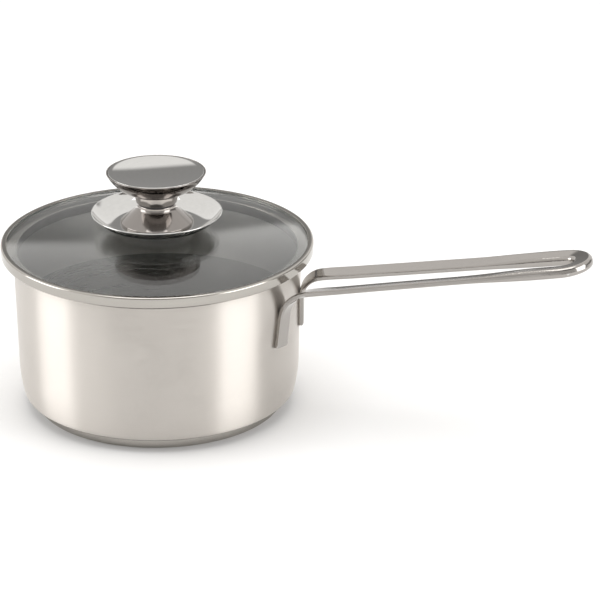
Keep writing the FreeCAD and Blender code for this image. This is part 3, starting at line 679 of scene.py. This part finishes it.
# %% [markdown]
# ## The handle
#
# One flat bar is bent into a long loop; its two ends run down the wall as legs and are welded there.
# Towards the loop's end the bar gets thicker and rounder at the same width, so that it fills the hand. It
# could be swept along a curve with a Bevel object, but the design's own mesh already follows every bend,
# so it is kept and only gets its finish.

# %% Handle
finish_node("handle_loop", handle_polish_painted_shade)

# %% [markdown]
# ## The lid's glass
#
# The glass is a shallow dome with a hole in the middle for the knob's screw and a ground edge that sits
# inside the band. It could be cut from a ball with a Boolean, but turning its outline keeps the rings
# even, so that what is seen through it isn't wavy.

# %% Glass dome
GLASS_THICKNESS = 4.0
GLASS_RISE = 10.1
HOLE_RADIUS = 5.0
GROUND_EDGE = 1.2


def lid_glass():
    radius, low, top = measures("lid_glass")
    sphere = (radius ** 2 + GLASS_RISE ** 2) / (2 * GLASS_RISE)
    shoulder = radius - GROUND_EDGE
    rows = 40

    def surface(depth):
        steps = [HOLE_RADIUS + (shoulder - HOLE_RADIUS) * step / rows for step in range(rows + 1)]
        # The dome's centre is worked out from its height over the edge.
        peak = top + (sphere - math.sqrt(sphere ** 2 - HOLE_RADIUS ** 2)) - depth
        return [Vector((r, peak - sphere + math.sqrt(sphere ** 2 - r ** 2))) for r in steps]

    outer = surface(0)
    inner = surface(GLASS_THICKNESS)
    middle = (outer[-1] + inner[-1]) / 2
    half = GLASS_THICKNESS / 2
    edge = [Vector((shoulder + GROUND_EDGE * math.cos(math.radians(a)),
                    middle.y + half * math.sin(math.radians(a)))) for a in range(75, -76, -15)]
    piece = lathe("glass_dome", [(outer + edge + inner[::-1], 0)], [glass])
    return fit(piece, "lid", "lid_glass")


lid_glass()

# %% [markdown]
# ## The lid's band and its seals
#
# A steel band is rolled round the glass: a lip over the top, a tall side, a floor, and a short skirt that
# drops inside the pan's mouth and centres the lid. A Bevel modifier could round a sharp band, but corners
# that are rounded in the outline can each have their own size: wide where the sheet is bent, and small
# where it was cut. Grey sealant beds the glass in the band, and a silicone ring lies under the knob; both
# keep the design's mesh.

# %% Band and seals
BAND_SHEET = 0.5
BAND_CORNER = 1.1
LIP_WIDTH = 3.0
SKIRT_DROP = 4.6
SKIRT_RADIUS = MOUTH_RADIUS - 1.3
SHEET_EDGE = 0.12


def lid_band():
    radius, low, top = measures("lid_band")
    bottom = low + SKIRT_DROP
    inside = radius - BAND_SHEET
    lip = radius - LIP_WIDTH
    corner = BAND_CORNER - BAND_SHEET
    skirt = SKIRT_RADIUS - BAND_SHEET
    corners = [(lip, top, SHEET_EDGE), (radius, top, BAND_CORNER), (radius, bottom, BAND_CORNER),
               (SKIRT_RADIUS, bottom, 0.2), (SKIRT_RADIUS, low, SHEET_EDGE), (skirt, low, SHEET_EDGE),
               (skirt, bottom + BAND_SHEET, BAND_SHEET / 2), (inside, bottom + BAND_SHEET, corner),
               (inside, top - BAND_SHEET, corner), (lip, top - BAND_SHEET, SHEET_EDGE)]
    piece = lathe("rolled_band", [(rounded(corners), 0)], [band_polish])
    return fit(piece, "lid", "lid_band")


lid_band()
finish_node("band_sealant", sealant)
finish_node("flange_gasket", silicone)

# %% [markdown]
# ## The knob: saucer, cone and ring
#
# The knob is a stack on one screw. Lowest is a wide saucer that guards the fingers from the hot glass,
# then come a bell-shaped cone and a thin black ring. The steel is mirror polished, so the roundings matter
# more than the size: each one draws a bright line. The saucer could be two arcs, but a joint between them
# shows in a mirror, so it is a flat floor and one long curve cut in fine, even steps.

# %% Saucer and cone
KNOB_SHEET = 0.8
SCREW_HOLE = 3.1
SAUCER_FLAT = 22.0
SAUCER_HEIGHT = 7.3
BOWL_STEPS = 24
NECK_RADIUS = 10.6
NECK_LENGTH = 2.2
NECK_FILLET = 3.0
CONE_HEM = 0.7
CONE_SHOULDER = 2.0


def bowl(centre, radius, start, end):
    """A long curve in fine, even steps, so that its reflections stay smooth."""
    return [on_circle(centre, radius, start + (end - start) * step / BOWL_STEPS)
            for step in range(BOWL_STEPS + 1)]


def saucer():
    low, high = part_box("saucer_flange")
    bottom, radius = low.z / MM, high.x / MM
    width = radius - SAUCER_FLAT
    steep = 2 * math.atan(SAUCER_HEIGHT / width)
    sweep = width / math.sin(steep)
    centre = (SAUCER_FLAT, bottom + sweep)
    end = math.degrees(steep) - 90
    # The rim's roundness ends inside the design's edge.
    last = end - math.degrees(KNOB_SHEET / 2 / sweep)
    rim = arc(on_circle(centre, sweep - KNOB_SHEET / 2, last), KNOB_SHEET / 2, last, last + 180)
    outline = [Vector((SCREW_HOLE, bottom)), Vector((SAUCER_FLAT * 0.6, bottom))]
    outline += bowl(centre, sweep, -90, last) + rim[1:-1] + bowl(centre, sweep - KNOB_SHEET, last, -90)
    outline += [Vector((SAUCER_FLAT * 0.6, bottom + KNOB_SHEET)), Vector((SCREW_HOLE, bottom + KNOB_SHEET))]
    piece = lathe("saucer", [(outline, 0)], [saucer_mirror])
    return fit(piece, "lid", "saucer_flange")


def cone():
    radius, bottom, top = measures("knob_cone")
    hem = bottom + CONE_HEM
    neck = top - NECK_LENGTH
    inner = radius - KNOB_SHEET
    corners = [(inner, bottom, 0.15), (radius, bottom, 0.15), (radius, hem + KNOB_SHEET / 2, CONE_SHOULDER / 2),
               (NECK_RADIUS, neck, NECK_FILLET), (NECK_RADIUS, top, 0.7), (SCREW_HOLE, top, 0),
               (SCREW_HOLE, top - KNOB_SHEET, 0), (NECK_RADIUS - KNOB_SHEET, top - KNOB_SHEET, 0),
               (NECK_RADIUS - KNOB_SHEET, neck - KNOB_SHEET / 2, NECK_FILLET), (inner, hem, 0)]
    piece = lathe("cone", [(rounded(corners), 0)], [bell_polish_painted_shade])
    return fit(piece, "lid", "knob_cone")


saucer()
cone()
finish_node("neck_ring", black_rubber)

# %% [markdown]
# ## The knob: collar, cup and dish
#
# Above the ring sit a turned collar, a flared cup that fits over the collar's spigot, and a shallow hollow
# plate set into the cup's top. The cup's side could be a free curve with handles, but an arc between two
# known ends stays even and needs one number only: how far it bows out. The plate is a slice of a hollow
# ball, because that is the shape a dished plate is pressed to.

# %% Collar, cup and dish
BORE_RADIUS = 2.5
SPIGOT_RADIUS = 7.0
SPIGOT_HEIGHT = 3.2
COLLAR_FOOT = 11.5
CUP_BULGE = 1.9
DISH_DEPTH = 2.0
DISH_LIP = 1.0


def collar():
    radius, bottom, top = measures("knob_boss")
    shoulder = top - SPIGOT_HEIGHT
    corners = [(BORE_RADIUS, bottom, 0), (COLLAR_FOOT, bottom, 0.5), (radius, shoulder, 0.12),
               (SPIGOT_RADIUS, shoulder, 0), (SPIGOT_RADIUS, top, 0.2), (BORE_RADIUS, top, 0)]
    piece = lathe("collar", [(rounded(corners), 0)], [bell_polish_painted_shade])
    return fit(piece, "lid", "knob_boss")


def bowed(start, end, bulge, steps=24):
    """An arc between two points that bows outwards from the straight line between them."""
    run = end - start
    out = Vector((run.y, -run.x)).normalized()
    radius = (run.length ** 2 / 4 + bulge ** 2) / (2 * bulge)
    centre = (start + end) / 2 + out * (bulge - radius)
    first = math.degrees(math.atan2(start.y - centre.y, start.x - centre.x))
    last = math.degrees(math.atan2(end.y - centre.y, end.x - centre.x))
    return [on_circle(centre, radius, first + (last - first) * step / steps) for step in range(steps + 1)]


def cup():
    radius, bottom, top = measures("knob_cup")
    collar_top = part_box("knob_boss")[1].x / MM
    foot = Vector((collar_top, bottom))
    edge = arc((radius - KNOB_SHEET / 2, top - KNOB_SHEET / 2), KNOB_SHEET / 2, 0, 180)
    side = bowed(foot, edge[0], CUP_BULGE)
    inner = bowed(foot + Vector((-KNOB_SHEET / 2, KNOB_SHEET)), edge[-1], CUP_BULGE)
    outline = [Vector((SPIGOT_RADIUS, bottom))] + side + edge + inner[::-1]
    outline.append(Vector((SPIGOT_RADIUS, bottom + KNOB_SHEET)))
    piece = lathe("cup", [(outline, 0)], [bell_polish_painted_shade])
    return fit(piece, "lid", "knob_cup")


def dish():
    edge, low, top = measures("knob_top_dish")
    lip = edge - DISH_LIP
    sphere = (lip ** 2 + DISH_DEPTH ** 2) / (2 * DISH_DEPTH)
    half = math.degrees(math.asin(lip / sphere))
    centre = (0, top - DISH_DEPTH + sphere)
    hollow = arc(centre, sphere, -90, half - 90)
    outline = hollow + rounded([(lip, top, 0), (edge, top, 0.25), (edge - 0.4, top - 1.0, 0)], closed=False)
    outline += arc((0, centre[1]), sphere + KNOB_SHEET, half - 93, -90)
    outline[0].x = 0
    outline[-1].x = 0
    piece = lathe("top_dish", [(outline, 0)], [dish_mirror])
    return fit(piece, "lid", "knob_top_dish")


collar()
cup()
dish()

# %% [markdown]
# ## Screw, washers and gaskets
#
# The screw comes up through a washer, a soft gasket and a plastic bush, so that the steel never touches
# the glass. They are seen through the lid and from below. They are small and simple, so they could be
# made again, but nothing would be gained: they keep the design's meshes and get a finish.

# %% Hardware finishes
for node in ("lid_screw", "lock_washer", "under_washer"):
    finish_node(node, stamped_steel)
finish_node("under_gasket", silicone)
finish_node("glass_bush", silicone)
print("hardware finished with", stamped_steel.name, "and", silicone.name)
